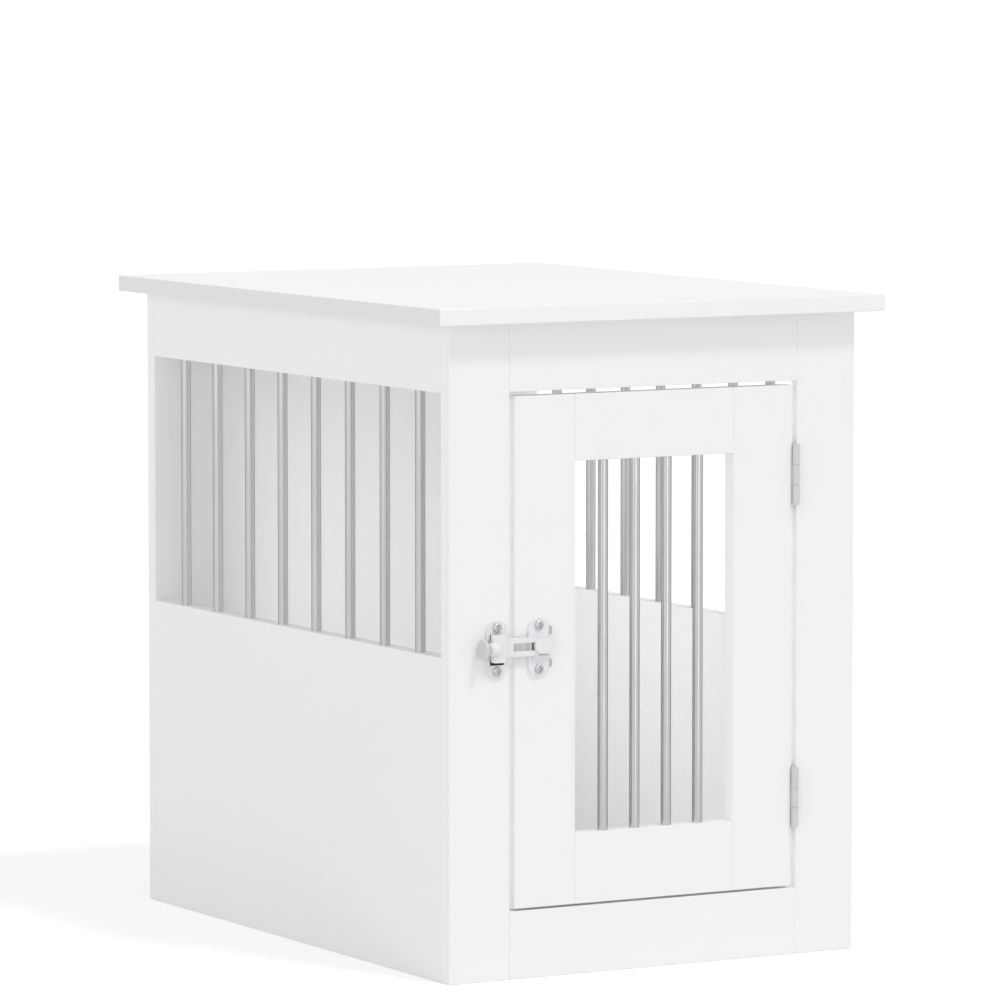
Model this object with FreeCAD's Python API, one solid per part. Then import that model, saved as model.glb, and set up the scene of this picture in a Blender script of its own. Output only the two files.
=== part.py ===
import FreeCAD, Part
import os

Vector = FreeCAD.Vector
X_AXIS = Vector(1, 0, 0)
Y_AXIS = Vector(0, 1, 0)
Z_AXIS = Vector(0, 0, 1)

# Driving dimensions, in millimetres. The part stands on z = 0, its front looks along -Y,
# and the origin is under the middle of the table top.

# Table top and boards
TABLE_WIDTH = 454.0
TABLE_DEPTH = 620.0
TABLE_HEIGHT = 589.0
TOP_THICKNESS = 15.0
TOP_OVERHANG = 20.0
BOARD = 15.0

# Front frame and sides
FRONT_STILE_WIDTH = 60.0
FRONT_TOP_RAIL_HEIGHT = 60.0
FRONT_BOTTOM_RAIL_HEIGHT = 60.0
SIDE_TOP_RAIL_HEIGHT = 60.0
SIDE_WINDOW_HEIGHT = 229.5
FLOOR_HEIGHT = 30.0

# Bars
BAR_DIAMETER = 9.0
BAR_SEAT_DEPTH = 10.0
BAR_TOP_PLAY = 0.5
SIDE_BAR_COUNT = 8
SIDE_BAR_INSET = 50.0
DOOR_BAR_COUNT = 4

# Door
DOOR_SIDE_GAP = 5.0
DOOR_TOP_GAP = 4.0
DOOR_BOTTOM_GAP = 2.0
DOOR_STILE_WIDTH = 61.0
DOOR_TOP_RAIL_HEIGHT = 58.5
DOOR_BOTTOM_RAIL_HEIGHT = 62.5

# Butt hinges
HINGE_LENGTH = 54.0
HINGE_FROM_DOOR_END = 79.5
HINGE_BARREL_DIAMETER = 6.6
HINGE_PIN_DIAMETER = 3.2
HINGE_LEAF_THICKNESS = 1.5
HINGE_LEAF_DEPTH = 11.8
HINGE_PROUD = 2.5
HINGE_KNUCKLE_GAP = 0.2
HINGE_SCREW_SPACING = 34.0
HINGE_SCREW_DIAMETER = 3.0
HINGE_SCREW_HEAD_DIAMETER = 5.6
HINGE_SCREW_LENGTH = 14.0

# Sliding latch: a base on the left stile, a slider, and a keeper on the door
LATCH_HEIGHT = 290.8
LATCH_AXIS_RAISE = 1.2
LATCH_BASE_FROM_OPENING = 14.0
LATCH_KEEPER_FROM_DOOR_EDGE = 23.0
LATCH_PLATE_WIDTH = 20.0
LATCH_PLATE_HEIGHT = 50.0
LATCH_PLATE_THICKNESS = 2.5
LATCH_PLATE_CORNER = 8.0
LATCH_RAIL_STEM_HEIGHT = 6.0
LATCH_RAIL_HEAD_HEIGHT = 10.0
LATCH_RAIL_STEP = 1.0
LATCH_BAR_HEIGHT = 16.4
LATCH_BAR_WALL = 1.5
LATCH_SLOT_HEIGHT = 7.0
LATCH_SLOT_LENGTH = 22.0
LATCH_SLOT_TO_TIP = 4.0
LATCH_HEAD_WIDTH = 13.4
LATCH_HEAD_FROM_BASE_EDGE = 2.5
LATCH_HEAD_HEIGHT = 24.4
LATCH_HEAD_STEP = 3.0
LATCH_HEAD_FLANGE = 3.0
LATCH_HEAD_CORNER = 2.0
LATCH_NECK_DIAMETER = 11.5
LATCH_NECK_LENGTH = 5.0
LATCH_NECK_ROUNDING = 3.5
LATCH_KNOB_STEM_DIAMETER = 6.0
LATCH_KNOB_STEM_LENGTH = 2.5
LATCH_KNOB_DIAMETER = 18.0
LATCH_KNOB_THICKNESS = 4.2
LATCH_KNOB_DISH = 2.2
LATCH_KNOB_LIP = 1.5
LATCH_TIP_IN_KEEPER = 5.0
LATCH_HOOD_DIAMETER = 13.0
LATCH_HOOD_THICKNESS = 2.0
LATCH_HOOD_ROUNDING = 0.8
LATCH_LEDGE_THICKNESS = 2.5
LATCH_WINDOW_EDGE = 3.2
LATCH_WINDOW_PAST_HEAD = 1.3
LATCH_WINDOW_HEIGHT = 5.2
LATCH_LOWER_WINDOW_MIDDLE = -11.2
LATCH_UPPER_WINDOW_MIDDLE = 10.2
LATCH_PAD_THICKNESS = 1.0
LATCH_EAR_THICKNESS = 2.6
LATCH_EAR_HEIGHT = 6.8
LATCH_EAR_SPACING = 28.5
LATCH_EAR_PROUD = 3.0
LATCH_SCREW_SPACING = 38.4
LATCH_SCREW_HEAD_DIAMETER = 8.5
LATCH_SCREW_HEAD_HEIGHT = 2.2
LATCH_SCREW_CROSS_REACH = 2.8
LATCH_SCREW_HEAD_ROUNDING = 1.5
LATCH_SCREW_CROSS_WIDTH = 1.3
LATCH_SCREW_CROSS_DEPTH = 1.3
LATCH_SCREW_DIAMETER = 3.0
LATCH_SCREW_LENGTH = 14.5

# Dowels
DOWEL_DIAMETER = 8.0
DOWEL_LENGTH = 30.0
DOWEL_FROM_EDGE = 15.0
DOWEL_IN_BOARD_FACE = 10.0
FLOOR_DOWEL_SPACING = 180.0
TOP_DOWEL_SPACING = 400.0

# Cam locks
CAM_DIAMETER = 15.0
CAM_DEPTH = 12.0
CAM_FROM_BOARD_END = 24.0
CAM_FROM_PANEL_EDGE = 50.0
CAM_BOLT_DIAMETER = 6.0
CAM_BOLT_IN_BOARD_FACE = 11.0

# Clearances
WOOD_FIT = 0.1
PIN_FIT = 0.05
END_PLAY = 0.3
SLIDE_FIT = 0.25
LATCH_OPEN_CLEARANCE = 1.0
KNOB_CLEARANCE = 0.5

# An edge runs along an axis when the cosine between them is above this
PARALLEL = 0.999

# Places worked out from the driving dimensions
CASE_HALF_WIDTH = TABLE_WIDTH / 2 - TOP_OVERHANG
CASE_HALF_DEPTH = TABLE_DEPTH / 2 - TOP_OVERHANG
CASE_TOP = TABLE_HEIGHT - TOP_THICKNESS
FRONT_FACE = -CASE_HALF_DEPTH
FRAME_BACK = FRONT_FACE + BOARD
BACK_PANEL_FACE = CASE_HALF_DEPTH - BOARD
SIDE_MIDDLE = CASE_HALF_WIDTH - BOARD / 2
SIDE_INNER_FACE = CASE_HALF_WIDTH - BOARD
FRONT_MIDDLE = FRONT_FACE + BOARD / 2
OPENING_HALF_WIDTH = CASE_HALF_WIDTH - FRONT_STILE_WIDTH
OPENING_TOP = CASE_TOP - FRONT_TOP_RAIL_HEIGHT
SIDE_RAIL_BOTTOM = CASE_TOP - SIDE_TOP_RAIL_HEIGHT
SIDE_PANEL_TOP = SIDE_RAIL_BOTTOM - SIDE_WINDOW_HEIGHT
DOOR_HALF_WIDTH = OPENING_HALF_WIDTH - DOOR_SIDE_GAP
DOOR_BOTTOM = FRONT_BOTTOM_RAIL_HEIGHT + DOOR_BOTTOM_GAP
DOOR_TOP = OPENING_TOP - DOOR_TOP_GAP
DOOR_WINDOW_HALF_WIDTH = DOOR_HALF_WIDTH - DOOR_STILE_WIDTH
DOOR_WINDOW_BOTTOM = DOOR_BOTTOM + DOOR_BOTTOM_RAIL_HEIGHT
DOOR_WINDOW_TOP = DOOR_TOP - DOOR_TOP_RAIL_HEIGHT


os.makedirs("parts", exist_ok=True)


def save(name, shape):
    """Writes one piece, or one group of like pieces, to its own file."""
    shape.exportStep("parts/" + name + ".step")


def group(solids):
    return Part.makeCompound(solids)


def box(x_range, y_range, z_range):
    """A block between two values on each axis."""
    low = Vector(x_range[0], y_range[0], z_range[0])
    size = Vector(x_range[1], y_range[1], z_range[1]) - low
    return Part.makeBox(size.x, size.y, size.z, low)


def rod(start, direction, length, diameter):
    return Part.makeCylinder(diameter / 2, length, start, direction)


def drill(board, holes):
    """A board with each (start, direction, length, diameter) of the list bored out of it."""
    for start, direction, length, diameter in holes:
        board = board.cut(rod(start, direction, length, diameter))
    return board


def widened(pegs):
    """The holes that take a list of pegs: wider by the fit, and longer at both ends."""
    holes = []
    for start, direction, length, diameter in pegs:
        hole_start = start - direction * END_PLAY
        holes.append((hole_start, direction, length + 2 * END_PLAY, diameter + 2 * WOOD_FIT))
    return holes


def pegs_as_solids(pegs):
    return group([rod(*peg) for peg in pegs])


def frame_dowels(joint_x, bottom_rail, top_rail):
    """Dowels along X through the joints of a frame: two at each end of both rails."""
    pegs = []
    for side in (-1, 1):
        for low, high in (bottom_rail, top_rail):
            for z in (low + DOWEL_FROM_EDGE, high - DOWEL_FROM_EDGE):
                start = Vector(side * joint_x - DOWEL_LENGTH / 2, FRONT_MIDDLE, z)
                pegs.append((start, X_AXIS, DOWEL_LENGTH, DOWEL_DIAMETER))
    return pegs


# Dowels of the front frame, the door, the floor and the table top
front_dowels = frame_dowels(
    OPENING_HALF_WIDTH, (0, FRONT_BOTTOM_RAIL_HEIGHT), (OPENING_TOP, CASE_TOP))
door_dowels = frame_dowels(
    DOOR_WINDOW_HALF_WIDTH, (DOOR_BOTTOM, DOOR_WINDOW_BOTTOM), (DOOR_WINDOW_TOP, DOOR_TOP))


def floor_dowel_pegs():
    """Three dowels along X from each side panel into the edge of the floor."""
    pegs = []
    z = FLOOR_HEIGHT + BOARD / 2
    for y in (-FLOOR_DOWEL_SPACING, 0, FLOOR_DOWEL_SPACING):
        left_start = -SIDE_INNER_FACE - DOWEL_IN_BOARD_FACE
        right_start = SIDE_INNER_FACE + DOWEL_IN_BOARD_FACE - DOWEL_LENGTH
        pegs.append((Vector(left_start, y, z), X_AXIS, DOWEL_LENGTH, DOWEL_DIAMETER))
        pegs.append((Vector(right_start, y, z), X_AXIS, DOWEL_LENGTH, DOWEL_DIAMETER))
    return pegs


def top_dowel_pegs():
    """Upright dowels from the side rails into the underside of the table top."""
    start_z = CASE_TOP + DOWEL_IN_BOARD_FACE - DOWEL_LENGTH
    pegs = []
    for x in (-SIDE_MIDDLE, SIDE_MIDDLE):
        for y in (-TOP_DOWEL_SPACING / 2, TOP_DOWEL_SPACING / 2):
            pegs.append((Vector(x, y, start_z), Z_AXIS, DOWEL_LENGTH, DOWEL_DIAMETER))
    return pegs


floor_dowels = floor_dowel_pegs()
top_dowels = top_dowel_pegs()


def cam_heights():
    """Heights of the cam locks: one in the top rail, two in the lower panel."""
    rail_middle = (SIDE_RAIL_BOTTOM + CASE_TOP) / 2
    return (CAM_FROM_PANEL_EDGE, SIDE_PANEL_TOP - CAM_FROM_PANEL_EDGE, rail_middle)


def cam_pegs(side):
    """Cam discs, let into the inner face of a side's boards near both ends."""
    pegs = []
    for z in cam_heights():
        for y in (FRAME_BACK + CAM_FROM_BOARD_END, BACK_PANEL_FACE - CAM_FROM_BOARD_END):
            start = Vector(side * SIDE_INNER_FACE, y, z)
            pegs.append((start, X_AXIS * side, CAM_DEPTH, CAM_DIAMETER))
    return pegs


def cam_bolt_pegs(side):
    """Bolts from the front stile and the back panel to the rim of each cam."""
    length = CAM_BOLT_IN_BOARD_FACE + CAM_FROM_BOARD_END - CAM_DIAMETER / 2 - END_PLAY
    pegs = []
    for z in cam_heights():
        front = Vector(side * SIDE_MIDDLE, FRAME_BACK - CAM_BOLT_IN_BOARD_FACE, z)
        back = Vector(side * SIDE_MIDDLE, BACK_PANEL_FACE + CAM_BOLT_IN_BOARD_FACE, z)
        pegs.append((front, Y_AXIS, length, CAM_BOLT_DIAMETER))
        pegs.append((back, -Y_AXIS, length, CAM_BOLT_DIAMETER))
    return pegs


cams = {side: cam_pegs(side) for side in (-1, 1)}
cam_bolts = {side: cam_bolt_pegs(side) for side in (-1, 1)}


def bar_pegs(positions, window_bottom, window_top):
    """Upright bars that stand on the bottom of blind holes below and above a window."""
    length = window_top - window_bottom + 2 * BAR_SEAT_DEPTH - BAR_TOP_PLAY
    start_z = window_bottom - BAR_SEAT_DEPTH
    return [(Vector(x, y, start_z), Z_AXIS, length, BAR_DIAMETER) for x, y in positions]


def bar_holes(pegs):
    """Holes of the bars: level with the bar's foot, and a little longer than the bar."""
    return [(start, direction, length + BAR_TOP_PLAY, diameter + 2 * WOOD_FIT)
            for start, direction, length, diameter in pegs]


def side_bar_pegs(side):
    first = FRAME_BACK + SIDE_BAR_INSET
    last = BACK_PANEL_FACE - SIDE_BAR_INSET
    pitch = (last - first) / (SIDE_BAR_COUNT - 1)
    places = [(side * SIDE_MIDDLE, first + i * pitch) for i in range(SIDE_BAR_COUNT)]
    return bar_pegs(places, SIDE_PANEL_TOP, SIDE_RAIL_BOTTOM)


def door_bar_pegs():
    pitch = 2 * DOOR_WINDOW_HALF_WIDTH / (DOOR_BAR_COUNT + 1)
    places = [(-DOOR_WINDOW_HALF_WIDTH + (i + 1) * pitch, FRONT_MIDDLE)
              for i in range(DOOR_BAR_COUNT)]
    return bar_pegs(places, DOOR_WINDOW_BOTTOM, DOOR_WINDOW_TOP)


side_bars = {side: side_bar_pegs(side) for side in (-1, 1)}
door_bars = door_bar_pegs()


# Butt hinges, one above the other in the gap on the door's right
HINGE_X = (OPENING_HALF_WIDTH + DOOR_HALF_WIDTH) / 2
HINGE_Y = FRONT_FACE - HINGE_PROUD
HINGE_LEAF_FRONT = HINGE_Y + HINGE_BARREL_DIAMETER / 2 + HINGE_KNUCKLE_GAP * 2
HINGE_LEAF_BACK = HINGE_LEAF_FRONT + HINGE_LEAF_DEPTH
HINGE_SCREW_Y = (HINGE_LEAF_FRONT + HINGE_LEAF_BACK) / 2
HINGE_CENTRES = {"upper": DOOR_TOP - HINGE_FROM_DOOR_END,
                 "lower": DOOR_BOTTOM + HINGE_FROM_DOOR_END}
KNUCKLE_LENGTH = HINGE_LENGTH / 3


def countersunk_screw(start, direction):
    """A screw whose flat head is level with the face it is driven from."""
    head_height = (HINGE_SCREW_HEAD_DIAMETER - HINGE_SCREW_DIAMETER) / 2
    head = Part.makeCone(
        HINGE_SCREW_HEAD_DIAMETER / 2, HINGE_SCREW_DIAMETER / 2, head_height, start, direction)
    shank = rod(start, direction, HINGE_SCREW_LENGTH, HINGE_SCREW_DIAMETER)
    return head.fuse(shank).removeSplitter()


def countersink(start, direction):
    """The hole of a countersunk screw: the same cone and shank, wider by the fit."""
    head_radius = HINGE_SCREW_HEAD_DIAMETER / 2 + WOOD_FIT
    shank_radius = HINGE_SCREW_DIAMETER / 2 + WOOD_FIT
    head = Part.makeCone(head_radius, shank_radius, head_radius - shank_radius, start, direction)
    shank = rod(start, direction, HINGE_SCREW_LENGTH + END_PLAY, 2 * shank_radius)
    return head.fuse(shank)


def hinge_screw_places(side):
    """Screw starts on both hinges: side is 1 for the frame's leaves and -1 for the door's."""
    mount_x = OPENING_HALF_WIDTH if side == 1 else DOOR_HALF_WIDTH
    start_x = mount_x - side * HINGE_LEAF_THICKNESS
    places = []
    for centre_z in HINGE_CENTRES.values():
        for offset in (-HINGE_SCREW_SPACING / 2, HINGE_SCREW_SPACING / 2):
            places.append((Vector(start_x, HINGE_SCREW_Y, centre_z + offset), X_AXIS * side))
    return places


def hinge_leaf(side, centre_z, knuckle_offsets):
    """A leaf with its own knuckles: side is 1 for the frame's leaf and -1 for the door's."""
    mount_x = OPENING_HALF_WIDTH if side == 1 else DOOR_HALF_WIDTH
    x_range = sorted((mount_x, mount_x - side * HINGE_LEAF_THICKNESS))
    z_range = (centre_z - HINGE_LENGTH / 2, centre_z + HINGE_LENGTH / 2)
    leaf = box(x_range, (HINGE_LEAF_FRONT, HINGE_LEAF_BACK), z_range)
    length = KNUCKLE_LENGTH - HINGE_KNUCKLE_GAP
    for offset in knuckle_offsets:
        low_z = centre_z + offset * KNUCKLE_LENGTH - length / 2
        web = box(x_range, (HINGE_Y, HINGE_LEAF_FRONT), (low_z, low_z + length))
        knuckle = rod(Vector(HINGE_X, HINGE_Y, low_z), Z_AXIS, length, HINGE_BARREL_DIAMETER)
        leaf = leaf.fuse(web).fuse(knuckle)
    pin_hole = rod(Vector(HINGE_X, HINGE_Y, z_range[0]), Z_AXIS, HINGE_LENGTH,
                   HINGE_PIN_DIAMETER + 2 * PIN_FIT)
    leaf = leaf.cut(pin_hole)
    for start, direction in hinge_screw_places(side):
        leaf = leaf.cut(countersink(start, direction))
    return leaf.removeSplitter()


def hinge_pin(centre_z):
    start = Vector(HINGE_X, HINGE_Y, centre_z - HINGE_LENGTH / 2)
    return rod(start, Z_AXIS, HINGE_LENGTH, HINGE_PIN_DIAMETER)


# Sliding latch
LATCH_BASE_X = -OPENING_HALF_WIDTH - LATCH_BASE_FROM_OPENING
LATCH_KEEPER_X = -DOOR_HALF_WIDTH + LATCH_KEEPER_FROM_DOOR_EDGE
RAIL_NECK = LATCH_PLATE_THICKNESS + LATCH_RAIL_STEP
RAIL_FRONT = RAIL_NECK + LATCH_RAIL_STEP
SLIDER_BACK = LATCH_PLATE_THICKNESS + SLIDE_FIT
BAR_FRONT = RAIL_FRONT + SLIDE_FIT + LATCH_BAR_WALL
HEAD_FRONT = BAR_FRONT + LATCH_HEAD_STEP
HOOD_BACK = BAR_FRONT + SLIDE_FIT
HOOD_FRONT = HOOD_BACK + LATCH_HOOD_THICKNESS
HOOD_LEFT = LATCH_KEEPER_X - LATCH_HOOD_DIAMETER / 2
LATCH_TIP_X = HOOD_LEFT + LATCH_TIP_IN_KEEPER
LATCH_TRAVEL = LATCH_TIP_X + DOOR_HALF_WIDTH + LATCH_OPEN_CLEARANCE
SLOT_RIGHT = LATCH_TIP_X - LATCH_SLOT_TO_TIP
SLOT_LEFT = SLOT_RIGHT - LATCH_SLOT_LENGTH
CHANNEL_END = LATCH_BASE_X + LATCH_PLATE_WIDTH / 2 + LATCH_TRAVEL + END_PLAY
HEAD_LEFT = LATCH_BASE_X - LATCH_PLATE_WIDTH / 2 + LATCH_HEAD_FROM_BASE_EDGE
HEAD_RIGHT = HEAD_LEFT + LATCH_HEAD_WIDTH
NECK_LEFT = HEAD_LEFT - LATCH_NECK_LENGTH
NECK_PROUD = LATCH_KNOB_DIAMETER / 2 + KNOB_CLEARANCE
LATCH_AXIS_HEIGHT = LATCH_HEIGHT + LATCH_AXIS_RAISE


def latch_box(x_range, proud_range, z_range):
    """A block of the latch: proud_range is counted outwards from the front face, and z_range
    from the middle of the latch's plates."""
    y_range = (FRONT_FACE - proud_range[1], FRONT_FACE - proud_range[0])
    return box(x_range, y_range, (LATCH_HEIGHT + z_range[0], LATCH_HEIGHT + z_range[1]))


def on_axis(height):
    """The z_range of something of that height on the slider's axis."""
    return (LATCH_AXIS_RAISE - height / 2, LATCH_AXIS_RAISE + height / 2)


def edge_ring(shape, axis_value, axis_index):
    """The round edges of a turned shape that lie in one plane across its axis."""
    rings = [edge for edge in shape.Edges if edge.Closed]
    return [ring for ring in rings if abs(ring.CenterOfMass[axis_index] - axis_value) < END_PLAY]


def edges_along(shape, axis):
    """The straight edges of a shape that run along an axis."""
    straight = [edge for edge in shape.Edges if isinstance(edge.Curve, Part.Line)]
    return [edge for edge in straight
            if abs(edge.tangentAt(edge.FirstParameter).dot(axis)) > PARALLEL]


def latch_plate(middle_x):
    half_width = LATCH_PLATE_WIDTH / 2
    half_height = LATCH_PLATE_HEIGHT / 2
    plate = latch_box((middle_x - half_width, middle_x + half_width),
                      (0, LATCH_PLATE_THICKNESS), (-half_height, half_height))
    return plate.makeFillet(LATCH_PLATE_CORNER, edges_along(plate, Y_AXIS))


def latch_screw_places(middle_x):
    """Where the two screws of a latch plate enter the plate's front."""
    y = FRONT_FACE - LATCH_PLATE_THICKNESS
    heights = (LATCH_HEIGHT - LATCH_SCREW_SPACING / 2, LATCH_HEIGHT + LATCH_SCREW_SPACING / 2)
    return [Vector(middle_x, y, z) for z in heights]


def latch_screw_holes(middle_x):
    return [(place, Y_AXIS, LATCH_SCREW_LENGTH + END_PLAY, LATCH_SCREW_DIAMETER + 2 * WOOD_FIT)
            for place in latch_screw_places(middle_x)]


def pan_head_screw(place):
    """A screw with a domed head in front of the plate, and a cross cut in the head."""
    head_front = place - Y_AXIS * LATCH_SCREW_HEAD_HEIGHT
    head = rod(head_front, Y_AXIS, LATCH_SCREW_HEAD_HEIGHT, LATCH_SCREW_HEAD_DIAMETER)
    head = head.makeFillet(LATCH_SCREW_HEAD_ROUNDING, edge_ring(head, head_front.y, 1))
    half_width = LATCH_SCREW_CROSS_WIDTH / 2
    depth = (head_front.y, head_front.y + LATCH_SCREW_CROSS_DEPTH)
    for reach_x, reach_z in ((LATCH_SCREW_CROSS_REACH, half_width),
                             (half_width, LATCH_SCREW_CROSS_REACH)):
        slot = box((place.x - reach_x, place.x + reach_x), depth,
                   (place.z - reach_z, place.z + reach_z))
        head = head.cut(slot)
    shank = rod(place, Y_AXIS, LATCH_SCREW_LENGTH, LATCH_SCREW_DIAMETER)
    return head.fuse(shank)


def latch_base_windows(thickness):
    """What the two windows of the base are cut with, and their pads at a smaller thickness."""
    left = LATCH_BASE_X - LATCH_PLATE_WIDTH / 2 + LATCH_WINDOW_EDGE
    return [latch_box((left, HEAD_RIGHT + LATCH_WINDOW_PAST_HEAD), (0, thickness),
                      (middle - LATCH_WINDOW_HEIGHT / 2, middle + LATCH_WINDOW_HEIGHT / 2))
            for middle in (LATCH_LOWER_WINDOW_MIDDLE, LATCH_UPPER_WINDOW_MIDDLE)]


def latch_base():
    """A plate with a T-shaped rail across it, on which the slider runs, and two windows."""
    left = LATCH_BASE_X - LATCH_PLATE_WIDTH / 2
    x_range = (left, left + LATCH_PLATE_WIDTH)
    stem = latch_box(x_range, (LATCH_PLATE_THICKNESS, RAIL_FRONT), on_axis(LATCH_RAIL_STEM_HEIGHT))
    head = latch_box(x_range, (RAIL_NECK, RAIL_FRONT), on_axis(LATCH_RAIL_HEAD_HEIGHT))
    base = latch_plate(LATCH_BASE_X)
    for window in latch_base_windows(LATCH_PLATE_THICKNESS):
        base = base.cut(window)
    base = base.fuse(stem).fuse(head).removeSplitter()
    return drill(base, latch_screw_holes(LATCH_BASE_X))


def latch_slider():
    """The sliding bar: a wide flanged head with a round neck, a slotted end, and a T-shaped
    channel along its back for the rail."""
    bar = latch_box((HEAD_LEFT + LATCH_HEAD_FLANGE, LATCH_TIP_X), (SLIDER_BACK, BAR_FRONT),
                    on_axis(LATCH_BAR_HEIGHT))
    head = latch_box((HEAD_LEFT, HEAD_RIGHT), (BAR_FRONT - LATCH_BAR_WALL, HEAD_FRONT),
                     on_axis(LATCH_HEAD_HEIGHT))
    head = head.makeFillet(LATCH_HEAD_CORNER, edges_along(head, Y_AXIS))
    neck_start = Vector(NECK_LEFT, FRONT_FACE - NECK_PROUD, LATCH_AXIS_HEIGHT)
    neck = rod(neck_start, X_AXIS, LATCH_NECK_LENGTH + LATCH_HEAD_WIDTH / 2, LATCH_NECK_DIAMETER)
    neck = neck.makeFillet(LATCH_NECK_ROUNDING, [e for e in neck.Edges if e.Closed])
    slider = bar.fuse(head).fuse(neck)
    slot = latch_box((SLOT_LEFT, SLOT_RIGHT), (0, BAR_FRONT), on_axis(LATCH_SLOT_HEIGHT))
    channel = (NECK_LEFT, CHANNEL_END)
    mouth = latch_box(channel, (0, RAIL_FRONT), on_axis(LATCH_RAIL_STEM_HEIGHT + 2 * SLIDE_FIT))
    groove = latch_box(channel, (RAIL_NECK - SLIDE_FIT, RAIL_FRONT + SLIDE_FIT),
                       on_axis(LATCH_RAIL_HEAD_HEIGHT + 2 * SLIDE_FIT))
    return slider.cut(slot).cut(mouth).cut(groove).removeSplitter()


def latch_knob():
    """A round disc with a dished face, turned to the left, on a stem from the slider's neck."""
    disc_right = NECK_LEFT - LATCH_KNOB_STEM_LENGTH
    centre = Vector(disc_right, FRONT_FACE - NECK_PROUD, LATCH_AXIS_HEIGHT)
    face = centre - X_AXIS * LATCH_KNOB_THICKNESS
    disc = rod(face, X_AXIS, LATCH_KNOB_THICKNESS, LATCH_KNOB_DIAMETER)
    disc = disc.makeFillet(LATCH_KNOB_LIP / 2, [e for e in disc.Edges if e.Closed])
    rim_radius = LATCH_KNOB_DIAMETER / 2 - LATCH_KNOB_LIP
    dish = Part.makeCone(rim_radius, rim_radius / 2, LATCH_KNOB_DISH, face, X_AXIS)
    stem = rod(centre, X_AXIS, LATCH_KNOB_STEM_LENGTH, LATCH_KNOB_STEM_DIAMETER)
    return disc.cut(dish).fuse(stem)


def latch_keeper_window(thickness):
    """What the mouth of the keeper is cut with, and its pad at a smaller thickness."""
    left = LATCH_KEEPER_X - LATCH_PLATE_WIDTH / 2 + LATCH_WINDOW_EDGE
    return latch_box((left, LATCH_TIP_X + SLIDE_FIT * 2), (0, thickness),
                     on_axis(LATCH_SLOT_HEIGHT))


def latch_keeper():
    """A plate with a hooded mouth for the tip, a ledge under the bar and two small ears."""
    plate_right = LATCH_KEEPER_X + LATCH_PLATE_WIDTH / 2
    mouth_end = LATCH_TIP_X + SLIDE_FIT * 2
    hood_front = Vector(LATCH_KEEPER_X, FRONT_FACE - HOOD_FRONT, LATCH_AXIS_HEIGHT)
    hood = rod(hood_front, Y_AXIS, LATCH_HOOD_THICKNESS, LATCH_HOOD_DIAMETER)
    hood = hood.makeFillet(LATCH_HOOD_ROUNDING, edge_ring(hood, hood_front.y, 1))
    wall = latch_box((mouth_end, plate_right), (0, HOOD_FRONT), on_axis(LATCH_HOOD_DIAMETER))
    ledge_top = LATCH_AXIS_RAISE - LATCH_BAR_HEIGHT / 2 - SLIDE_FIT
    ledge = latch_box((HOOD_LEFT, plate_right), (0, RAIL_FRONT),
                      (ledge_top - LATCH_LEDGE_THICKNESS, ledge_top))
    window = latch_keeper_window(LATCH_PLATE_THICKNESS)
    keeper = latch_plate(LATCH_KEEPER_X).cut(window).fuse(hood).fuse(wall).fuse(ledge)
    for middle in (-LATCH_EAR_SPACING / 2, LATCH_EAR_SPACING / 2):
        ear = latch_box((plate_right, plate_right + LATCH_EAR_THICKNESS), (0, LATCH_EAR_PROUD),
                        (middle - LATCH_EAR_HEIGHT / 2, middle + LATCH_EAR_HEIGHT / 2))
        keeper = keeper.fuse(ear)
    return drill(keeper.removeSplitter(), latch_screw_holes(LATCH_KEEPER_X))


# Table top and case
def top_panel():
    half_width = TABLE_WIDTH / 2
    half_depth = TABLE_DEPTH / 2
    panel = box((-half_width, half_width), (-half_depth, half_depth), (CASE_TOP, TABLE_HEIGHT))
    return drill(panel, widened(top_dowels))


def front_stile(side):
    x_range = sorted((side * OPENING_HALF_WIDTH, side * CASE_HALF_WIDTH))
    stile = box(x_range, (FRONT_FACE, FRAME_BACK), (0, CASE_TOP))
    stile = drill(stile, widened(front_dowels + cam_bolts[side]))
    if side == -1:
        return drill(stile, latch_screw_holes(LATCH_BASE_X))
    for start, direction in hinge_screw_places(1):
        stile = stile.cut(countersink(start, direction))
    return stile


def front_rail(z_range):
    x_range = (-OPENING_HALF_WIDTH, OPENING_HALF_WIDTH)
    return drill(box(x_range, (FRONT_FACE, FRAME_BACK), z_range), widened(front_dowels))


def side_board(side, z_range):
    """A board of one side, between the front frame and the back panel."""
    x_range = sorted((side * SIDE_INNER_FACE, side * CASE_HALF_WIDTH))
    board = box(x_range, (FRAME_BACK, BACK_PANEL_FACE), z_range)
    pegs = cams[side] + cam_bolts[side] + floor_dowels + top_dowels
    return drill(drill(board, widened(pegs)), bar_holes(side_bars[side]))


def back_panel():
    x_range = (-CASE_HALF_WIDTH, CASE_HALF_WIDTH)
    panel = box(x_range, (BACK_PANEL_FACE, CASE_HALF_DEPTH), (0, CASE_TOP))
    return drill(panel, widened(cam_bolts[-1] + cam_bolts[1]))


def floor_panel():
    panel = box((-SIDE_INNER_FACE, SIDE_INNER_FACE), (FRAME_BACK, BACK_PANEL_FACE),
                (FLOOR_HEIGHT, FLOOR_HEIGHT + BOARD))
    return drill(panel, widened(floor_dowels))


# Door
def door_stile(side):
    x_range = sorted((side * DOOR_WINDOW_HALF_WIDTH, side * DOOR_HALF_WIDTH))
    stile = box(x_range, (FRONT_FACE, FRAME_BACK), (DOOR_BOTTOM, DOOR_TOP))
    stile = drill(stile, widened(door_dowels))
    if side == -1:
        return drill(stile, latch_screw_holes(LATCH_KEEPER_X))
    for start, direction in hinge_screw_places(-1):
        stile = stile.cut(countersink(start, direction))
    return stile


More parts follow.
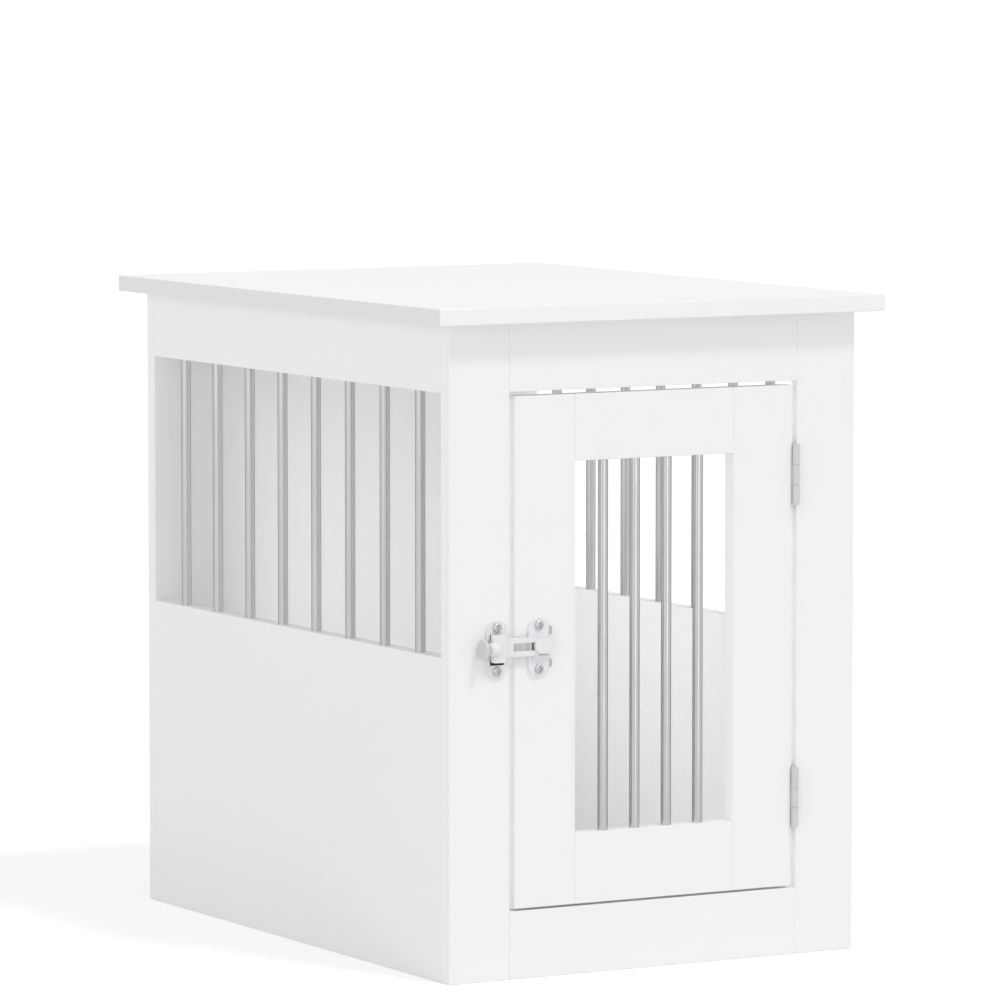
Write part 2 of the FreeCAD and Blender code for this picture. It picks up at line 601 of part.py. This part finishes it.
def door_rail(z_range):
    x_range = (-DOOR_WINDOW_HALF_WIDTH, DOOR_WINDOW_HALF_WIDTH)
    rail = drill(box(x_range, (FRONT_FACE, FRAME_BACK), z_range), widened(door_dowels))
    return drill(rail, bar_holes(door_bars))


SIDE_NAMES = {-1: "left", 1: "right"}

save("top_panel", top_panel())
save("front_top_rail", front_rail((OPENING_TOP, CASE_TOP)))
save("front_bottom_rail", front_rail((0, FRONT_BOTTOM_RAIL_HEIGHT)))
save("back_panel", back_panel())
save("floor_panel", floor_panel())

for side, side_name in SIDE_NAMES.items():
    save("front_" + side_name + "_stile", front_stile(side))
    save("door_" + side_name + "_stile", door_stile(side))
    save(side_name + "_top_rail", side_board(side, (SIDE_RAIL_BOTTOM, CASE_TOP)))
    save(side_name + "_lower_panel", side_board(side, (0, SIDE_PANEL_TOP)))
    save(side_name + "_cam_locks", pegs_as_solids(cams[side]))
    save(side_name + "_cam_bolts", pegs_as_solids(cam_bolts[side]))
    for number, peg in enumerate(side_bars[side], start=1):
        save(side_name + "_bar_" + str(number), rod(*peg))

save("door_top_rail", door_rail((DOOR_WINDOW_TOP, DOOR_TOP)))
save("door_bottom_rail", door_rail((DOOR_BOTTOM, DOOR_WINDOW_BOTTOM)))
for number, peg in enumerate(door_bars, start=1):
    save("door_bar_" + str(number), rod(*peg))

for hinge_name, centre_z in HINGE_CENTRES.items():
    save(hinge_name + "_hinge_frame_leaf", hinge_leaf(1, centre_z, (-1, 1)))
    save(hinge_name + "_hinge_door_leaf", hinge_leaf(-1, centre_z, (0,)))
    save(hinge_name + "_hinge_pin", hinge_pin(centre_z))
save("hinge_frame_screws", group([countersunk_screw(*place) for place in hinge_screw_places(1)]))
save("hinge_door_screws", group([countersunk_screw(*place) for place in hinge_screw_places(-1)]))

save("latch_base", latch_base())
save("latch_slider", latch_slider())
save("latch_knob", latch_knob())
save("latch_keeper", latch_keeper())
save("latch_base_pads", group(latch_base_windows(LATCH_PAD_THICKNESS)))
save("latch_keeper_pad", latch_keeper_window(LATCH_PAD_THICKNESS))
save("latch_base_screws",
     group([pan_head_screw(place) for place in latch_screw_places(LATCH_BASE_X)]))
save("latch_keeper_screws",
     group([pan_head_screw(place) for place in latch_screw_places(LATCH_KEEPER_X)]))

save("front_frame_dowels", pegs_as_solids(front_dowels))
save("door_dowels", pegs_as_solids(door_dowels))
save("floor_dowels", pegs_as_solids(floor_dowels))
save("top_dowels", pegs_as_solids(top_dowels))
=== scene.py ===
import math

import bmesh
import bpy
import numpy as np
from mathutils import Matrix, Vector


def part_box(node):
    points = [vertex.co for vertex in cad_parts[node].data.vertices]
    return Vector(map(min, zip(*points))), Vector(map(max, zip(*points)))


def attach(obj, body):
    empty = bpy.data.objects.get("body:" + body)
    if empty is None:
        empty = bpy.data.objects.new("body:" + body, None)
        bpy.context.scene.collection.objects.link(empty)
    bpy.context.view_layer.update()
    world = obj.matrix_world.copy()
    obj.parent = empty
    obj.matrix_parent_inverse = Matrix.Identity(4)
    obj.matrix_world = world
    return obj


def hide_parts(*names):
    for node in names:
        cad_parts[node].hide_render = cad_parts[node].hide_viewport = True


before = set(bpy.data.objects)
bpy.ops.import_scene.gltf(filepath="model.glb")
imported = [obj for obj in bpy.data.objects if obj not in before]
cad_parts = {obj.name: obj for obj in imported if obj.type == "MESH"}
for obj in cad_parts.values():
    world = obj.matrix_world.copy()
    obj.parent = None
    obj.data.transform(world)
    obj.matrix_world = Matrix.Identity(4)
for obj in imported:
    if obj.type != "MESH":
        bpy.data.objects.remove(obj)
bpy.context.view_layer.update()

# ---------------------------------------------------------------------------------------------
# Case boards: the front frame, the two sides, the back and the floor. Each is 15 mm particle
# board faced with white foil, its edges banded and slightly rounded, and they are drawn tight
# against each other by dowels and cam locks.


class Wire:
    """An output of a node. Arithmetic on it adds Math nodes to the same finish."""

    def __init__(self, finish, socket):
        self.finish = finish
        self.socket = socket

    def combine(self, operation, first, second):
        return self.finish.add("ShaderNodeMath", {"operation": operation}, {0: first, 1: second})

    def __add__(self, other):
        return self.combine("ADD", self, other)

    def __mul__(self, other):
        return self.combine("MULTIPLY", self, other)

    __radd__ = __add__
    __rmul__ = __mul__


class Finish:
    """A surface finish, which is one material, or the studio's surround, built node by node."""

    def __init__(self, name, kind="materials"):
        self.owner = getattr(bpy.data, kind).new(name)
        self.owner.use_nodes = True
        self.tree = self.owner.node_tree
        self.tree.nodes.clear()

    def add(self, kind, settings, sockets, output=0):
        """Adds a node: first its settings, then the values or links of its sockets."""
        node = self.tree.nodes.new(kind)
        for key, value in settings.items():
            setattr(node, key, value)
        for key, value in sockets.items():
            if isinstance(value, Wire):
                self.tree.links.new(value.socket, node.inputs[key])
            else:
                node.inputs[key].default_value = value
        return Wire(self, node.outputs[output]) if node.outputs else None

    def noise(self, per_metre, detail=2.0, scale=(1.0, 1.0, 1.0)):
        """Soft noise from 0 to 1, with about so many lumps to the metre of the table's own
        frame. A small scale along an axis draws the lumps out into lines that way."""
        point = self.add("ShaderNodeTexCoord", {}, {}, "Object")
        place = self.add("ShaderNodeMapping", {}, {"Vector": point, "Scale": scale})
        sockets = {"Vector": place, "Scale": per_metre, "Detail": detail}
        return self.add("ShaderNodeTexNoise", {}, sockets)

    def blend(self, amount, first, second):
        """A colour between two others."""
        sockets = {"Factor": amount, "A": (*first, 1.0), "B": (*second, 1.0)}
        return self.add("ShaderNodeMix", {"data_type": "RGBA"}, sockets, 2)

    def relief(self, height, depth):
        """The surface normal with a fine relief of that depth in metres."""
        return self.add("ShaderNodeBump", {}, {"Height": height, "Distance": depth})

    def done(self, **sockets):
        """The finished material, from the values or wires of the surface's named sockets."""
        named = {key.replace("_", " "): value for key, value in sockets.items()}
        shader = self.add("ShaderNodeBsdfPrincipled", {}, named)
        self.add("ShaderNodeOutputMaterial", {}, {"Surface": shader})
        return self.owner


def white_foil(name, dark, light):
    """White foil on board: satin, with a faint pebbled emboss and hardly any change of tone."""
    foil = Finish(name)
    tone = foil.noise(3.0, detail=1.0)
    pebbles = foil.noise(1400.0)
    waves = foil.noise(60.0, detail=1.0)
    return foil.done(
        Base_Color=foil.blend(tone, dark, light),
        Roughness=waves * 0.06 + 0.40,
        Normal=foil.relief(pebbles + waves * 0.3, depth=0.00002),
    )


def new_piece(name, points, faces, finish, body, node):
    """A finished piece: its mesh, its finish, the body it rides on and the node it replaces."""
    mesh = bpy.data.meshes.new(name)
    mesh.from_pydata(np.asarray(points).tolist(), [], faces)
    mesh.validate()
    mesh.materials.append(finish)
    piece = bpy.data.objects.new(name, mesh)
    bpy.context.scene.collection.objects.link(piece)
    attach(piece, body)
    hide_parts(node)
    return piece


def grid_faces(rows, columns):
    """Quads of a grid of points that closes on itself along its columns."""
    row, column = np.meshgrid(np.arange(rows - 1), np.arange(columns), indexing="ij")
    after = (column + 1) % columns
    corners = (row * columns + column, row * columns + after,
               (row + 1) * columns + after, (row + 1) * columns + column)
    return np.stack(corners, axis=-1).reshape(-1, 4)


ARRIS = 0.0007
ARRIS_STEPS = 4


def eased_block(low, high, arris):
    """Points, faces and normals of a block with rounded arrises: a small ball's surface, cut
    along its three middle planes, with its eight parts moved out to the block's corners."""
    low, high = np.array(low), np.array(high)
    quarter = np.linspace(0.0, math.pi / 2, ARRIS_STEPS)
    rise = np.concatenate((quarter - math.pi / 2, quarter))
    turn = np.concatenate([quarter + corner * math.pi / 2 for corner in range(4)])
    rise_grid, turn_grid = np.meshgrid(rise, turn, indexing="ij")
    normals = np.stack((np.cos(rise_grid) * np.cos(turn_grid),
                        np.cos(rise_grid) * np.sin(turn_grid), np.sin(rise_grid)), axis=-1)
    corner = np.repeat(np.arange(4), ARRIS_STEPS)
    side_x = np.where((corner == 0) | (corner == 3), 1, -1)
    side_y = np.where(corner < 2, 1, -1)
    side_z = np.repeat((-1, 1), ARRIS_STEPS)
    sides = np.stack((np.broadcast_to(side_x, rise_grid.shape),
                      np.broadcast_to(side_y, rise_grid.shape),
                      np.broadcast_to(side_z[:, None], rise_grid.shape)), axis=-1)
    points = (low + high) / 2 + sides * ((high - low) / 2 - arris) + arris * normals
    faces = grid_faces(len(rise), len(turn)).tolist()
    last_row = (len(rise) - 1) * len(turn)
    faces.append(list(range(len(turn)))[::-1])
    faces.append(list(range(last_row, last_row + len(turn))))
    return points.reshape(-1, 3), faces, normals.reshape(-1, 3)


def board_piece(node, body, finish, arris=ARRIS):
    """A board of its CAD node's size, with its arrises eased and exact normals."""
    low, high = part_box(node)
    points, faces, normals = eased_block(low, high, arris)
    piece = new_piece(node + "_board", points, faces, finish, body, node)
    piece.data.shade_smooth()
    piece.data.normals_split_custom_set_from_vertices(normals.tolist())
    return piece


CASE_BOARDS = (
    "front_left_stile", "front_right_stile", "front_top_rail", "front_bottom_rail",
    "left_lower_panel", "right_lower_panel", "left_top_rail", "right_top_rail",
    "back_panel", "floor_panel",
)
white = white_foil("white_foil", dark=(0.885, 0.893, 0.888), light=(0.915, 0.920, 0.915))
for board in CASE_BOARDS:
    board_piece(board, "case", white)

# ---------------------------------------------------------------------------------------------
# Table top: one larger board of the same kind, which overhangs the case all round and lies on
# upright dowels in the side rails. Its arrises are eased a little more, because hands meet them.
# Its two side edges are a greyer white than the foil, which is painted shade.

TOP_ARRIS = 0.0011
NEARLY_SIDEWAYS = 0.9
top_piece = board_piece("top_panel", "case", white, TOP_ARRIS)
# The greyer white given to the top's two side edges is painted shade.
side_edge_shade = white_foil("side_edge_painted_shade", dark=(0.765, 0.775, 0.770), light=(0.795, 0.803, 0.798))
top_piece.data.materials.append(side_edge_shade)
for polygon in top_piece.data.polygons:
    if abs(polygon.normal.x) > NEARLY_SIDEWAYS:
        polygon.material_index = 1

# ---------------------------------------------------------------------------------------------
# Side bars: eight round steel bars in each side window, ground and polished along their
# length, dropped into blind holes in the lower panel and held down by the rail above.

ROUND_STEPS = 48
SAME_PLACE = 1e-6
NO_LENGTH = 1e-7


def turned(profile, centre, axis):
    """Points and faces of a turned shape: a profile of (distance along the axis, radius)
    swept round the axis through a centre; rings of no radius close to a single point."""
    along, radius = np.array(profile).T
    angle = np.linspace(0.0, 2 * math.pi, ROUND_STEPS, endpoint=False)
    ring = np.stack((np.cos(angle), np.sin(angle)), axis=-1)
    across_first, across_second = (axis + 1) % 3, (axis + 2) % 3
    points = np.zeros((len(along), ROUND_STEPS, 3))
    points[..., axis] = along[:, None]
    points[..., across_first] = radius[:, None] * ring[:, 0]
    points[..., across_second] = radius[:, None] * ring[:, 1]
    return points.reshape(-1, 3) + np.array(centre), grid_faces(len(along), ROUND_STEPS)


def close_and_smooth(piece, sharp_angle):
    """Merges doubled points, turns all faces outwards and smooths all but the sharp edges."""
    mesh = bmesh.new()
    mesh.from_mesh(piece.data)
    bmesh.ops.remove_doubles(mesh, verts=mesh.verts, dist=SAME_PLACE)
    bmesh.ops.dissolve_degenerate(mesh, edges=mesh.edges, dist=NO_LENGTH)
    bmesh.ops.recalc_face_normals(mesh, faces=mesh.faces)
    for edge in mesh.edges:
        edge.smooth = edge.calc_face_angle(0.0) < math.radians(sharp_angle)
    for face in mesh.faces:
        face.smooth = True
    mesh.to_mesh(piece.data)
    mesh.free()


def turned_piece(name, profile, centre, axis, finish, body, node, sharp_angle=40):
    """A turned piece in place of a CAD node, closed at both ends."""
    points, faces = turned(profile, centre, axis)
    piece = new_piece(name, points, faces.tolist(), finish, body, node)
    close_and_smooth(piece, sharp_angle)


def ground_steel():
    """Ground steel bar: bright, with fine lines along its length and faint uneven polish."""
    steel = Finish("ground_steel")
    lines = steel.noise(2600.0, scale=(1.0, 1.0, 0.012))
    polish = steel.noise(35.0, scale=(1.0, 1.0, 0.3))
    return steel.done(
        Base_Color=steel.blend(polish, (0.56, 0.57, 0.58), (0.62, 0.63, 0.64)),
        Specular_Tint=(0.20, 0.20, 0.21, 1.0),
        Metallic=1.0,
        Roughness=polish * 0.08 + lines * 0.05 + 0.14,
        Normal=steel.relief(lines, depth=0.000015),
    )


UPRIGHT = 2
BAR_CHAMFER = 0.0006


def bar_piece(node, body, finish):
    """A round bar with a small chamfer at both ends, of its CAD node's size."""
    low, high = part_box(node)
    radius = (high.x - low.x) / 2
    centre = ((low.x + high.x) / 2, (low.y + high.y) / 2, 0.0)
    profile = [(low.z, 0.0), (low.z, radius - BAR_CHAMFER), (low.z + BAR_CHAMFER, radius),
               (high.z - BAR_CHAMFER, radius), (high.z, radius - BAR_CHAMFER), (high.z, 0.0)]
    turned_piece(node + "_steel", profile, centre, UPRIGHT, finish, body, node)


SIDE_BARS = 8
steel = ground_steel()
for side in ("left", "right"):
    for number in range(1, SIDE_BARS + 1):
        bar_piece(f"{side}_bar_{number}", "case", steel)

# ---------------------------------------------------------------------------------------------
# Joinery: beech dowels and, from the inside, die-cast cam discs and plated bolts. The dowels
# and bolts are sealed in the boards; only the cams' faces show, from inside the case.


def beech():
    """Beech dowel: pale brown, with fine flecks along the grain."""
    wood = Finish("beech")
    flecks = wood.noise(900.0, detail=3.0, scale=(0.15, 1.0, 1.0))
    return wood.done(
        Base_Color=wood.blend(flecks, (0.50, 0.33, 0.18), (0.62, 0.45, 0.27)),
        Roughness=flecks * 0.1 + 0.55,
        Normal=wood.relief(flecks, depth=0.00004),
    )


def plated(name, dark, light, rough):
    """Plated or die-cast metal with a slightly cloudy surface."""
    metal = Finish(name)
    cloud = metal.noise(500.0, detail=3.0)
    return metal.done(
        Base_Color=metal.blend(cloud, dark, light),
        Metallic=1.0,
        Roughness=cloud * 0.15 + rough,
        Normal=metal.relief(cloud, depth=0.00002),
    )


def refinish(nodes, finish):
    """Gives pieces whose own shape is right a better finish."""
    for node in nodes:
        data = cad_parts[node].data
        data.materials.clear()
        data.materials.append(finish)


FLAT_ANGLE = 1.0
ARRIS_ANGLE = 35


def merged_copy(node, name, body, finish, arris):
    """A part of the CAD model's own shape, with its triangles merged to faces and its sharp
    arrises rounded to a small radius."""
    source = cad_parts[node].data
    points = np.empty(len(source.vertices) * 3)
    source.vertices.foreach_get("co", points)
    places, index = np.unique(points.reshape(-1, 3).round(7), axis=0, return_inverse=True)
    index = index.ravel()
    faces = [[int(index[corner]) for corner in polygon.vertices] for polygon in source.polygons]
    piece = new_piece(name, places, faces, finish, body, node)
    mesh = bmesh.new()
    mesh.from_mesh(piece.data)
    bmesh.ops.dissolve_limit(mesh, angle_limit=math.radians(FLAT_ANGLE),
                             verts=mesh.verts, edges=mesh.edges)
    for face in mesh.faces:
        face.smooth = True
    mesh.to_mesh(piece.data)
    mesh.free()
    bevel = piece.modifiers.new("arris", "BEVEL")
    bevel.width = arris
    bevel.segments = 2
    bevel.limit_method = "ANGLE"
    bevel.angle_limit = math.radians(ARRIS_ANGLE)
    bevel.harden_normals = True
    return piece


zinc = plated("zinc_plate", dark=(0.50, 0.51, 0.53), light=(0.64, 0.65, 0.67), rough=0.28)
refinish(("front_frame_dowels", "door_dowels", "floor_dowels", "top_dowels"), beech())
refinish(("left_cam_bolts", "right_cam_bolts"), zinc)

# The cams' faces stand a little proud of the boards, so that they show.
CAM_ARRIS = 0.0004
CAM_PROUD = 0.0003
cam_casting = plated("cam_casting", dark=(0.52, 0.52, 0.52), light=(0.64, 0.64, 0.64), rough=0.42)
for node, inwards in (("left_cam_locks", 1), ("right_cam_locks", -1)):
    cams = merged_copy(node, node + "_discs", "case", cam_casting, CAM_ARRIS)
    cams.data.transform(Matrix.Translation((inwards * CAM_PROUD, 0.0, 0.0)))

# ---------------------------------------------------------------------------------------------
# Door: a frame of four boards of the same white-faced board, dowelled at the corners, with
# four of the steel bars in its window. It is level with the front frame when shut.

DOOR_BARS = 4
for board in ("door_left_stile", "door_right_stile", "door_top_rail", "door_bottom_rail"):
    board_piece(board, "door", white)
for number in range(1, DOOR_BARS + 1):
    bar_piece(f"door_bar_{number}", "door", steel)

# ---------------------------------------------------------------------------------------------
# Hinges: two butt hinges of pressed steel, painted pale grey. Each has a frame leaf and a door
# leaf, which face each other in the gap at the door's right, held by countersunk screws and
# joined by a pin through three knuckles.


def paint(name, dark, light, rough=0.30, peel_depth=0.00003):
    """Baked paint on metal: even colour, a slight orange peel and a soft sheen."""
    coat = Finish(name)
    peel = coat.noise(1100.0)
    tone = coat.noise(90.0)
    return coat.done(
        Base_Color=coat.blend(tone, dark, light),
        Roughness=peel * 0.10 + rough,
        Normal=coat.relief(peel, peel_depth),
        Coat_Weight=0.3,
        Coat_Roughness=0.2,
    )


LEAF_ARRIS = 0.00018
PIN_ARRIS = 0.0003
SCREW_ARRIS = 0.0001
hinge_paint = paint("hinge_paint", dark=(0.58, 0.59, 0.60), light=(0.66, 0.67, 0.68),
                    rough=0.34, peel_depth=0.00002)
for place in ("upper", "lower"):
    merged_copy(f"{place}_hinge_frame_leaf", f"{place}_hinge_frame_leaf_steel", "case",
                hinge_paint, LEAF_ARRIS)
    merged_copy(f"{place}_hinge_door_leaf", f"{place}_hinge_door_leaf_steel", "door",
                hinge_paint, LEAF_ARRIS)
    merged_copy(f"{place}_hinge_pin", f"{place}_hinge_pin_steel", "case", zinc,
                PIN_ARRIS)
for node, body in (("hinge_frame_screws", "case"), ("hinge_door_screws", "door")):
    merged_copy(node, node + "_steel", body, zinc, SCREW_ARRIS)

# ---------------------------------------------------------------------------------------------
# Latch: a zinc die casting painted white. Its base is screwed to the left stile, the slider
# runs on the base's rail and is drawn to the left by its knob, and its slotted end goes under
# the hood of the keeper on the door.

CASTING_ARRIS = 0.0004
SLIDER_ARRIS = 0.0006
latch_paint = paint("latch_paint", dark=(0.79, 0.80, 0.805), light=(0.83, 0.84, 0.845))
merged_copy("latch_base", "latch_base_casting", "case", latch_paint, CASTING_ARRIS)
merged_copy("latch_slider", "latch_slider_casting", "latch", latch_paint,
            SLIDER_ARRIS)
keeper = merged_copy("latch_keeper", "latch_keeper_casting", "door", latch_paint,
                     CASTING_ARRIS)

# The two small ears at the keeper's right are darker than the rest of it.
EAR_THICKNESS = 0.0026
keeper.data.materials.append(
    paint("ear_paint", dark=(0.40, 0.41, 0.42), light=(0.48, 0.49, 0.50), rough=0.40))
ear_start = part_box("latch_keeper")[1].x - EAR_THICKNESS
for polygon in keeper.data.polygons:
    if polygon.center.x > ear_start:
        polygon.material_index = 1

SIDEWAYS = 0
KNOB_THICKNESS = 0.0042
KNOB_LIP = 0.0015
KNOB_DISH = 0.0022
KNOB_STEM_RADIUS = 0.003
# Shares of the dish's depth and the knob's radius, then of the lip's depth and width.
DISH_CURVE = ((1.0, 0.0), (0.96, 0.25), (0.75, 0.48), (0.38, 0.68))
FRONT_LIP_CURVE = ((0.0, 1.0), (0.15, 0.35), (0.5, 0.0))
BACK_LIP_CURVE = ((0.8, 0.0), (0.3, 0.4), (0.0, 1.0))


def knob_piece(finish):
    """The slider's knob: a round button with a dished face and a rounded lip, on a stem."""
    low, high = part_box("latch_knob")
    radius = (high.z - low.z) / 2
    front, back = low.x, low.x + KNOB_THICKNESS
    profile = [(front + KNOB_DISH * depth, radius * share) for depth, share in DISH_CURVE]
    profile += [(front + KNOB_LIP * depth, radius - KNOB_LIP * inset)
                for depth, inset in FRONT_LIP_CURVE]
    profile += [(back - KNOB_LIP * depth, radius - KNOB_LIP * inset)
                for depth, inset in BACK_LIP_CURVE]
    profile += [(back, KNOB_STEM_RADIUS), (high.x, KNOB_STEM_RADIUS), (high.x, 0.0)]
    centre = (0.0, (low.y + high.y) / 2, (low.z + high.z) / 2)
    turned_piece("latch_knob_casting", profile, centre, SIDEWAYS, finish, "latch", "latch_knob",
                 sharp_angle=60)


# The knob's grey, darker than the rest of the latch, is painted shade for the shading of its
# dished face.
knob_piece(paint("knob_painted_shade", dark=(0.60, 0.61, 0.62), light=(0.67, 0.68, 0.69)))


def painted_shade_black():
    """Near-black, matt and faintly mottled: painted shade for the latch's shadowed hollows."""
    pad_finish = Finish("pad_painted_shade")
    mottle = pad_finish.noise(800.0)
    return pad_finish.done(
        Base_Color=pad_finish.blend(mottle, (0.022, 0.022, 0.023), (0.035, 0.035, 0.036)),
        Roughness=mottle * 0.15 + 0.6,
        Normal=pad_finish.relief(mottle, depth=0.00004),
    )


# The near-black of these pads is painted shade, standing in the shadowed hollows under the
# latch's slider.
refinish(("latch_base_pads", "latch_keeper_pad"), painted_shade_black())
for node, body in (("latch_base_screws", "case"), ("latch_keeper_screws", "door")):
    merged_copy(node, node + "_plated", body, zinc, SCREW_ARRIS)

# ---------------------------------------------------------------------------------------------
# Studio: a plain white floor that keeps the table's shadow, a white surround, a soft key light
# from above and in front, a low fill from the left, a tall strip lamp in front, whose image
# runs down the bars, and a soft panel lamp inside the case.

FLOOR_REACH = 12.0
FLOOR_LIFT = 0.27


def studio_floor():
    """White floor. The camera sees it slightly lifted, so that it fades into the surround."""
    floor = Finish("studio_floor")
    seen = floor.add("ShaderNodeLightPath", {}, {}, "Is Camera Ray")
    speck = floor.noise(4.0, detail=1.0)
    return floor.done(
        Base_Color=floor.blend(speck, (0.86, 0.86, 0.86), (0.88, 0.88, 0.88)),
        Roughness=0.9,
        Specular_IOR_Level=0.0,
        Emission_Color=floor.blend(seen, (0.0, 0.0, 0.0), (FLOOR_LIFT, FLOOR_LIFT, FLOOR_LIFT)),
        Emission_Strength=1.0,
    )


corners = [(-FLOOR_REACH, -FLOOR_REACH, 0.0), (FLOOR_REACH, -FLOOR_REACH, 0.0),
           (FLOOR_REACH, FLOOR_REACH, 0.0), (-FLOOR_REACH, FLOOR_REACH, 0.0)]
floor_mesh = bpy.data.meshes.new("floor")
floor_mesh.from_pydata(corners, [], [(0, 1, 2, 3)])
floor_mesh.materials.append(studio_floor())
floor = bpy.data.objects.new("floor", floor_mesh)
bpy.context.scene.collection.objects.link(floor)

SURROUND_LIGHT = 0.75


def white_surround():
    """White all round: at full strength where the camera or a gloss sees it, and weaker as
    the light that falls on everything."""
    surround = Finish("surround", "worlds")
    by_camera = surround.add("ShaderNodeLightPath", {}, {}, "Is Camera Ray")
    by_gloss = surround.add("ShaderNodeLightPath", {}, {}, "Is Glossy Ray")
    seen = by_camera.combine("MAXIMUM", by_camera, by_gloss)
    sockets = {"Color": (1.0, 1.0, 1.0, 1.0),
               "Strength": seen * (1.0 - SURROUND_LIGHT) + SURROUND_LIGHT}
    light = surround.add("ShaderNodeBackground", {}, sockets)
    surround.add("ShaderNodeOutputWorld", {}, {"Surface": light})
    return surround.owner


bpy.context.scene.world = white_surround()


def lamp(name, kind, energy, towards, place=(0.0, 0.0, 3.0), unseen_by=(), **settings):
    """A lamp that shines towards a direction, hidden from some kinds of rays."""
    data = bpy.data.lights.new(name, kind)
    data.energy = energy
    for key, value in settings.items():
        setattr(data, key, value)
    lit = bpy.data.objects.new(name, data)
    lit.location = place
    lit.rotation_euler = Vector(towards).to_track_quat("-Z", "Y").to_euler()
    for ray in unseen_by:
        setattr(lit, "visible_" + ray, False)
    bpy.context.scene.collection.objects.link(lit)


def panel_lamp(name, energy, towards, place, width, height, unseen_by):
    """An upright lamp with a flat face of that width and height."""
    lamp(name, "AREA", energy, towards, place, unseen_by,
         shape="RECTANGLE", size=width, size_y=height)


lamp("key", "SUN", energy=0.80, towards=(-0.20, 0.50, -0.84), angle=math.radians(10))
lamp("left_fill", "SUN", energy=0.34, towards=(0.88, 0.42, -0.20), angle=math.radians(30))
panel_lamp("front_strip", energy=1.6, towards=(0.0, 1.0, 0.0), place=(-0.09, -1.5, 0.7),
           width=0.20, height=1.4, unseen_by=("camera", "diffuse"))
panel_lamp("cabin_fill", energy=0.48, towards=(1.0, 0.0, 0.0), place=(-0.14, 0.0, 0.27),
           width=0.36, height=0.40, unseen_by=("camera", "glossy"))

# Two thin lamps just behind the gaps beside the door keep the gaps as pale as the boards.
GAP_LAMP_ASIDE = 0.001
GAP_LAMP_BACK = 0.004
GAP_LAMP_MIDDLE = 0.29
for side in ("left", "right"):
    hidden_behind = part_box("front_left_stile" if side == "left" else "door_right_stile")[1]
    panel_lamp(f"{side}_gap_light", energy=0.021, towards=(0.3, -1.0, 0.0),
               place=(hidden_behind.x - GAP_LAMP_ASIDE, hidden_behind.y + GAP_LAMP_BACK,
                      GAP_LAMP_MIDDLE),
               width=0.002, height=0.50, unseen_by=("camera", "glossy"))

# A long lens from about six metres, left of the front, looking slightly down.
CAMERA_PLACE = (-2.93690, -5.17606, 0.92298)
CAMERA_DOWN = 5.10612
CAMERA_TURN = -29.64161
LENS_LENGTH = 234.76
SENSOR_WIDTH = 36.0
CAMERA_REACH = 100.0

camera_data = bpy.data.cameras.new("camera")
camera_data.sensor_width = SENSOR_WIDTH
camera_data.lens = LENS_LENGTH
camera_data.clip_end = CAMERA_REACH
camera = bpy.data.objects.new("camera", camera_data)
camera.location = CAMERA_PLACE
camera.rotation_euler = (math.radians(90 - CAMERA_DOWN), 0.0, math.radians(CAMERA_TURN))
bpy.context.scene.collection.objects.link(camera)
bpy.context.scene.camera = camera
bpy.context.scene.view_settings.view_transform = "Standard"
